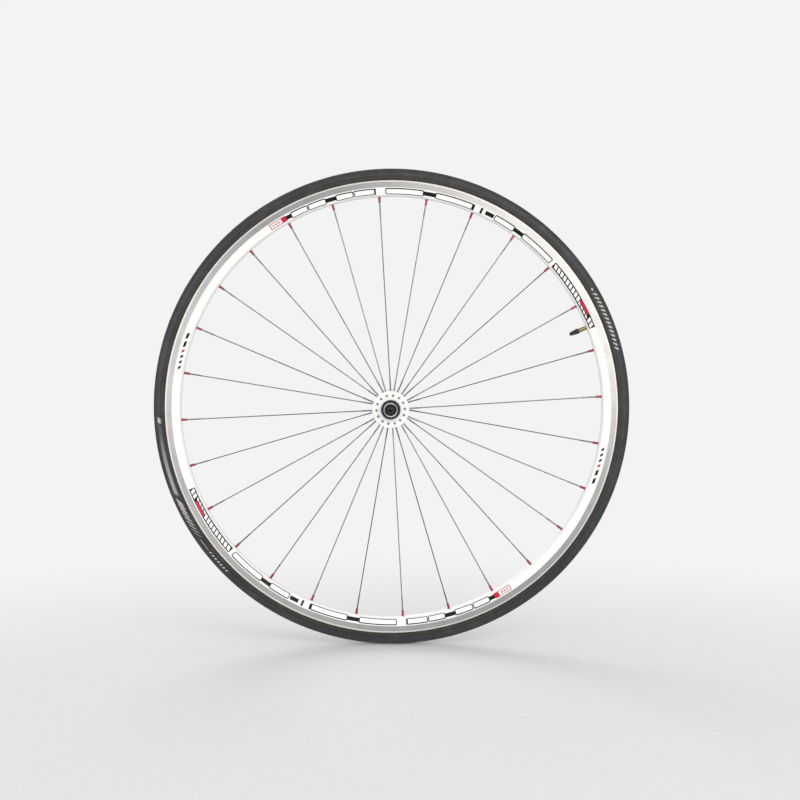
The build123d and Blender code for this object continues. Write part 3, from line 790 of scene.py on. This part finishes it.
def tyre_graphics(band):
    """Plain hashes, stripes and a fading patch printed on the tyre's shoulders."""
    skin = Skin([cad["tyre_casing"], band], PRINT_FOOT_R, PRINT_TOP_R)
    prints = Plates(skin, PRINT_LIFT)
    patch = Plates(skin, PATCH_LIFT)

    print_row(prints, 14.8, count=14, pitch=1.1, width=0.5, low=0.08, high=0.88, slant=-0.7)
    prints.add(30.4, 31.0, 0.3, 0.66, corner=0.6 * MM, turns=ONCE)

    prints.add(182.4, 183.7, 0.1, 0.85, slant=-0.6, turns=ONCE)
    patch.add(184.3, 202.0, 0.04, 0.8, slant=-0.8, turns=ONCE)
    tapering_stripes(prints, 203.6, count=9, pitch=1.2)
    prints.add(214.6, 217.8, 0.5, 0.6, turns=ONCE)
    print_row(prints, 218.4, count=7, pitch=1.0, width=0.45, low=0.38, high=0.72, slant=-0.3)
    prints.finish("tyre_print", TYRE_INK)
    patch.finish("tyre_patch", FADING_INK)


# ---------------------------------------------------------------- hub and valve details
def knurled_rings():
    """The faces that bite on the fork ends: radial teeth cut in both contact rings."""
    teeth = 48
    depth = 0.3 * MM
    edge = 0.2 * MM  # the bevel round a tooth's ends
    for side, sign in (("near", -1), ("far", 1)):
        vertices = []
        for k in range(2 * teeth):
            face = RING_FACE_Y - (depth if k % 2 else 0)
            outline = [
                (RING_INNER_R, RING_BACK_Y),
                (RING_OUTER_R, RING_BACK_Y),
                (RING_OUTER_R, face - edge),
                (RING_OUTER_R - edge, face),
                (RING_INNER_R + edge, face),
                (RING_INNER_R, face - edge),
            ]
            vertices += [on_wheel(r, sign * y, 180 * k / teeth) for r, y in outline]
        faces = grid_faces(2 * teeth, 6)
        name = f"knurled_ring_{side}"
        ring = add_piece(name, vertices, faces, "axle", BRIGHT_STEEL, crease=15)
        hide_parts(f"contact_ring_{side}")


def valve_thread():
    """The thread on the stem, from its base inside the rim to the cap."""
    start, end = 285.0 * MM, 305.0 * MM
    pitch = 0.8 * MM
    per_turn = 24
    crest = STEM_R + 0.16 * MM
    root = STEM_R - 0.1 * MM
    half = pitch * 0.42
    axis = on_wheel(1, 0, VALVE_ANGLE)
    across = on_wheel(1, 0, VALVE_ANGLE + 90)
    steps = round((end - start) / pitch * per_turn)
    vertices = []
    for k in range(steps + 1):
        turn = 2 * math.pi * k / per_turn
        height = min(1, k / per_turn, (steps - k) / per_turn)  # runs out over a turn at each end
        outward = across * math.cos(turn) + Vector((0, 1, 0)) * math.sin(turn)
        middle = start + pitch * k / per_turn
        top = root + (crest - root) * max(height, 0.05)
        for along, out in ((-half, root), (0, top), (half, root)):
            vertices.append(axis * (middle + along) + outward * out)
    faces = grid_faces(steps + 1, 3, wrap_rows=False)
    last = 3 * steps
    faces += [(0, 1, 2), (last, last + 1, last + 2)]
    add_piece("valve_thread", vertices, faces, "wheel", VALVE_BRASS, crease=20)


# ---------------------------------------------------------------- floor, light and camera
FLOOR_R = 3.0
FADE_FORWARD = 0.55  # the fade's middle is this far in front of the wheel
FADE_START = 0.45  # the floor is whole up to this far from the fade's middle
FADE_END = 1.35  # and gone from here on
ROOM_TONE = (0.97, 0.98, 1.0, 1)  # what lights the wheel and shows in its metal
ROOM_STRENGTH = 0.55
BACKDROP_TONE = (0.90, 0.895, 0.90, 1)  # what the camera sees behind it


def floor():
    """A pale floor that fades out into the pale surroundings."""
    bpy.ops.mesh.primitive_circle_add(
        vertices=96, radius=FLOOR_R, fill_type="NGON", location=(0, 0, cad_box[0].z)
    )
    ground = bpy.context.object
    ground.name = "floor"
    finish = Finish("floor_paper", Roughness=0.8, Specular_IOR_Level=0.1)
    place = finish.position()
    x, y, _ = finish.split(place)
    forward = finish.maths("ADD", y, FADE_FORWARD)
    squares = finish.maths(
        "ADD", finish.maths("MULTIPLY", x, x), finish.maths("MULTIPLY", forward, forward)
    )
    away = finish.maths("SQRT", squares)
    grain = finish.noise(place, 90.0, detail=4.0)
    finish.paint(
        Base_Color=finish.blend(grain, (0.74, 0.735, 0.74), (0.80, 0.795, 0.80)),
        Alpha=finish.spread(away, 1.0, 0.0, FADE_START, FADE_END),
    )
    ground.data.materials.append(finish.material)
    ground.visible_glossy = False


def surroundings():
    """Near white behind the wheel for the camera, and a dimmer even room for everything else."""
    world = bpy.data.worlds.new("studio")
    bpy.context.scene.world = world
    world.use_nodes = True
    tree = world.node_tree
    tree.nodes.clear()
    path = tree.nodes.new("ShaderNodeLightPath")
    room = tree.nodes.new("ShaderNodeBackground")
    room.inputs["Color"].default_value = ROOM_TONE
    room.inputs["Strength"].default_value = ROOM_STRENGTH
    backdrop = tree.nodes.new("ShaderNodeBackground")
    backdrop.inputs["Color"].default_value = BACKDROP_TONE
    mix = tree.nodes.new("ShaderNodeMixShader")
    out = tree.nodes.new("ShaderNodeOutputWorld")
    tree.links.new(path.outputs["Is Camera Ray"], mix.inputs[0])
    tree.links.new(room.outputs[0], mix.inputs[1])
    tree.links.new(backdrop.outputs[0], mix.inputs[2])
    tree.links.new(mix.outputs[0], out.inputs[0])
    bpy.context.scene.view_settings.view_transform = "Standard"


def soft_light(name, place, size, power, tone=(1, 1, 1)):
    """A square soft box aimed at the wheel's centre."""
    data = bpy.data.lights.new(name, "AREA")
    data.size = size
    data.energy = power
    data.color = tone
    lamp = bpy.data.objects.new(name, data)
    lamp.location = place
    lamp.rotation_euler = (-Vector(place)).to_track_quat("-Z", "Y").to_euler()
    bpy.context.scene.collection.objects.link(lamp)


def camera():
    """A little above the hub and to its right, looking slightly down, as in the photograph."""
    distance = 1.62
    azimuth = math.radians(0.86)
    elevation = math.radians(2.98)
    aim = Vector((0.0124, 0, 0.0115))  # the wheel sits a little left of and below the middle
    data = bpy.data.cameras.new("camera")
    data.sensor_width = 36
    data.lens = 51.8
    view = bpy.data.objects.new("camera", data)
    view.location = distance * Vector(
        (
            math.sin(azimuth) * math.cos(elevation),
            -math.cos(azimuth) * math.cos(elevation),
            math.sin(elevation),
        )
    )
    view.rotation_euler = (aim - view.location).to_track_quat("-Z", "Y").to_euler()
    bpy.context.scene.collection.objects.link(view)
    bpy.context.scene.camera = view


# ---------------------------------------------------------------- the wheel
finish_cad_nodes()
tread_band = tread()
mould_lines()
rim_graphics()
bpy.context.view_layer.update()
tyre_graphics(tread_band)
knurled_rings()
valve_thread()
floor()
surroundings()
soft_light("window", (1.45, -2.3, 1.05), size=2.6, power=56, tone=(1.0, 0.975, 0.925))
soft_light("side", (-2.0, -1.9, 0.4), size=1.5, power=22)
soft_light("back", (-0.8, 2.4, 1.4), size=1.6, power=35)
camera()
